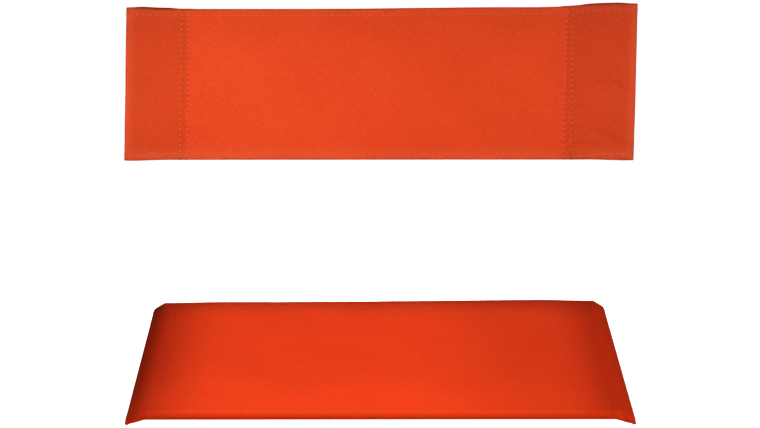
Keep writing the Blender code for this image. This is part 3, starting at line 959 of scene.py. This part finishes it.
def thread(name, light, dark):
    """Twist: a sine over the distance along the thread plus the distance round it."""
    material, shader = new_material(name, roughness=0.7, specular_ior_level=0.12, sheen_weight=0.0)
    place = add(material, "ShaderNodeUVMap", uv_map="Cloth").outputs[0]
    split = add(material, "ShaderNodeSeparateXYZ", {0: place})
    slant = add(
        material, "ShaderNodeMath", {0: split.outputs[0], 1: split.outputs[1]}, operation="ADD"
    )
    turns = add(
        material, "ShaderNodeMath", {0: slant.outputs[0], 1: 2 * math.pi / TWIST}, operation="MULTIPLY"
    )
    twist = add(material, "ShaderNodeMath", {0: turns.outputs[0]}, operation="SINE")
    dip = add(material, "ShaderNodeAttribute", attribute_name="dip")
    deep = add(material, "ShaderNodeMath", {0: dip.outputs["Fac"], 1: 4}, operation="POWER")
    # painted shade: darker in the twist's grooves and at the ends that dip into needle holes
    shade = add(
        material, "ShaderNodeMath", {0: twist.outputs[0], 1: -0.08, 2: deep.outputs[0]},
        operation="MULTIPLY_ADD", use_clamp=True,
    )
    colour = add(
        material, "ShaderNodeMix", {0: shade.outputs[0], 6: linear(light), 7: linear(dark)},
        data_type="RGBA",
    )
    bump = add(
        material, "ShaderNodeBump", {"Strength": 0.4, "Distance": 0.0001, "Height": twist.outputs[0]}
    )
    material.node_tree.links.new(colour.outputs[2], shader.inputs["Base Color"])
    material.node_tree.links.new(bump.outputs[0], shader.inputs["Normal"])
    return material


seat_thread = thread("spun_thread_seat", "EA3E16", "D0350F")
back_thread = thread("spun_thread_back", "ED602B", "BC4219")
print("threads:", seat_thread.name, back_thread.name)

# %% [markdown]
# ### Birch
#
# Birch is pale and close-grained. Its rings are faint, and fine darker pores run along the stick.
# The pattern reads a point's place measured from the stick's own axis, stored on the mesh, so both
# dowels share one material. The centre of the tree lies outside such a thin stick.

# %% Birch
def birch(name):
    """Rings by distance from the tree's centre, stretched along the stick, with fine pores."""
    material, shader = new_material(name, roughness=0.55, specular_ior_level=0.4)
    place = add(material, "ShaderNodeAttribute", attribute_name="grain").outputs["Vector"]
    moved = add(
        material, "ShaderNodeMapping",
        {"Vector": place, "Location": (0.021, 0, 0.009), "Scale": (1, 0.03, 1)},
    )
    rings = add(
        material, "ShaderNodeTexWave",
        {"Vector": moved.outputs[0], "Scale": 260, "Distortion": 3.0, "Detail": 3, "Detail Scale": 1.5},
        wave_type="RINGS", rings_direction="Y",
    )
    long = add(material, "ShaderNodeMapping", {"Vector": place, "Scale": (1, 0.02, 1)})
    pores = add(
        material, "ShaderNodeTexNoise", {"Vector": long.outputs[0], "Scale": 2600, "Detail": 3}
    )
    mixed = add(
        material, "ShaderNodeMath", {0: pores.outputs[0], 1: 0.7, 2: rings.outputs[1]},
        operation="MULTIPLY_ADD",
    )
    spread = add(material, "ShaderNodeMapRange", {0: mixed.outputs[0], 1: 0.2, 2: 1.5}, clamp=True)
    colour = add(
        material, "ShaderNodeMix", {0: spread.outputs[0], 6: linear("C59A66"), 7: linear("E2C394")},
        data_type="RGBA",
    )
    bump = add(
        material, "ShaderNodeBump", {"Strength": 0.25, "Distance": 0.0002, "Height": pores.outputs[0]}
    )
    material.node_tree.links.new(colour.outputs[2], shader.inputs["Base Color"])
    material.node_tree.links.new(bump.outputs[0], shader.inputs["Normal"])
    return material


dowel_wood = birch("turned_birch")
print("wood:", dowel_wood.name)

# %% [markdown]
# ## Tie every piece to the model
#
# Each piece takes its material, rides on the CAD body it belongs to, and hides the
# plain CAD node that it stands for.

# %% Dress and tie the pieces
def dress(piece, material, slot, body, *nodes):
    """Material, slot (not used), body and the CAD nodes that the piece stands for."""
    piece.data.materials.append(material)
    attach(piece, body)
    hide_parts(*nodes)


dress(seat_cloth, seat_canvas, "seat_canvas", "seat", "seat_cloth")
dress(back_cloth, back_canvas, "back_canvas", "back", "back_cloth")
for node, piece in stitches.items():
    if piece in seat_stitches:
        dress(piece, seat_thread, "seat_thread", "seat", node)
    else:
        dress(piece, back_thread, "back_thread", "back", node)
for side, piece in dowels.items():
    dress(piece, dowel_wood, "dowel_wood", f"{side}_dowel", f"{side}_dowel")

# %% [markdown]
# ## Studio
#
# A plain white floor lies where the chair's feet would stand. Three softboxes hang right above the
# seat, with grids that keep their light within it, so that it fades towards the sides. The back
# has two narrow beams from the front, and one more light stands low in front. A broad light on the
# right reaches both pieces, and one behind is for the far side.

# %% Floor and world
FLOOR_Z = -0.45
FLOOR_REACH = 40.0


def white_to_camera(owner, strength):
    """A glow that only the camera sees: it whitens the ground without lighting the cloth."""
    seen = add(owner, "ShaderNodeLightPath")
    return add(
        owner, "ShaderNodeMath", {0: seen.outputs["Is Camera Ray"], 1: strength}, operation="MULTIPLY"
    ).outputs[0]


corners = np.array([[-1.0, -1.0, 0], [1.0, -1.0, 0], [1.0, 1.0, 0], [-1.0, 1.0, 0]]) * FLOOR_REACH
floor = finish_mesh("studio_floor", corners + [0, 0, FLOOR_Z], [(0, 1, 2, 3)])
floor_paint, floor_shader = new_material("matt_white_floor", roughness=0.9, specular_ior_level=0.1)
floor_shader.inputs["Base Color"].default_value = linear("AFAFAF")
floor_shader.inputs["Emission Color"].default_value = (1, 1, 1, 1)
floor_glow = white_to_camera(floor_paint, 1.0)
floor_paint.node_tree.links.new(floor_glow, floor_shader.inputs["Emission Strength"])
floor.data.materials.append(floor_paint)

world = bpy.data.worlds.new("studio")
world.use_nodes = True
bpy.context.scene.world = world
AMBIENT = 0.11
background = world.node_tree.nodes["Background"]
glow = white_to_camera(world, 1.0 - AMBIENT)
total = add(world, "ShaderNodeMath", {0: glow, 1: AMBIENT}, operation="ADD")
world.node_tree.links.new(total.outputs[0], background.inputs["Strength"])
background.inputs["Color"].default_value = (1, 1, 1, 1)
print("floor at", FLOOR_Z, "m, ambient light", AMBIENT)


# %% Lights
def softbox(name, place, aim, size, power, spread=180):
    """A white rectangle of light at place that faces aim, its beam limited to spread degrees."""
    light = bpy.data.lights.new(name, "AREA")
    light.shape = "RECTANGLE"
    light.size, light.size_y = size
    light.energy = power
    light.spread = math.radians(spread)
    lamp = bpy.data.objects.new(name, light)
    bpy.context.scene.collection.objects.link(lamp)
    lamp.location = place
    away = Vector(aim) - Vector(place)
    lamp.rotation_euler = away.to_track_quat("-Z", "Y").to_euler()
    lamp.visible_camera = False
    return lamp


softbox("over_seat", (0.002, -0.013, 0.52), (0.002, -0.013, 0), (0.445, 0.415), 0.262, spread=13)
softbox("over_left", (-0.0640, -0.010, 0.52), (-0.0640, -0.010, 0), (0.315, 0.415), 0.080, spread=18)
softbox("over_front", (-0.06, -0.24, 0.52), (-0.06, -0.24, 0), (0.40, 0.10), 0.076, spread=40)
softbox("front_low", (0.1, -2.2, -0.15), (0, 0.2, 0.10), (0.8, 0.4), 6.0)
softbox("from_right", (1.6, -1.3, 1.1), (0, 0.0, 0.1), (1.0, 0.6), 20.0)
softbox("at_back", (-0.9, -1.4, 0.23), (0, 0.2, 0.24), (0.9, 0.25), 0.245, spread=8)
softbox("at_left", (-0.9, -1.4, 0.25), (-0.29, 0.2, 0.265), (0.50, 0.26), 0.12, spread=14)
softbox("behind", (0.0, 2.0, -0.25), (0, 0.2, 0.22), (0.4, 0.3), 20.0)

# %% Camera
camera_data = bpy.data.cameras.new("camera")
camera_data.sensor_width = 36.0
camera_data.lens = 137.7
camera = bpy.data.objects.new("camera", camera_data)
bpy.context.scene.collection.objects.link(camera)
camera.location = (-0.0094, -2.9644, 0.9034)
camera.rotation_euler = (math.radians(90 - 14.128), 0, math.radians(-0.193))
camera_data.clip_end = 100
bpy.context.scene.camera = camera
bpy.context.scene.view_settings.view_transform = "Standard"
print("camera:", camera_data.lens, "mm lens at", tuple(round(c, 3) for c in camera.location))
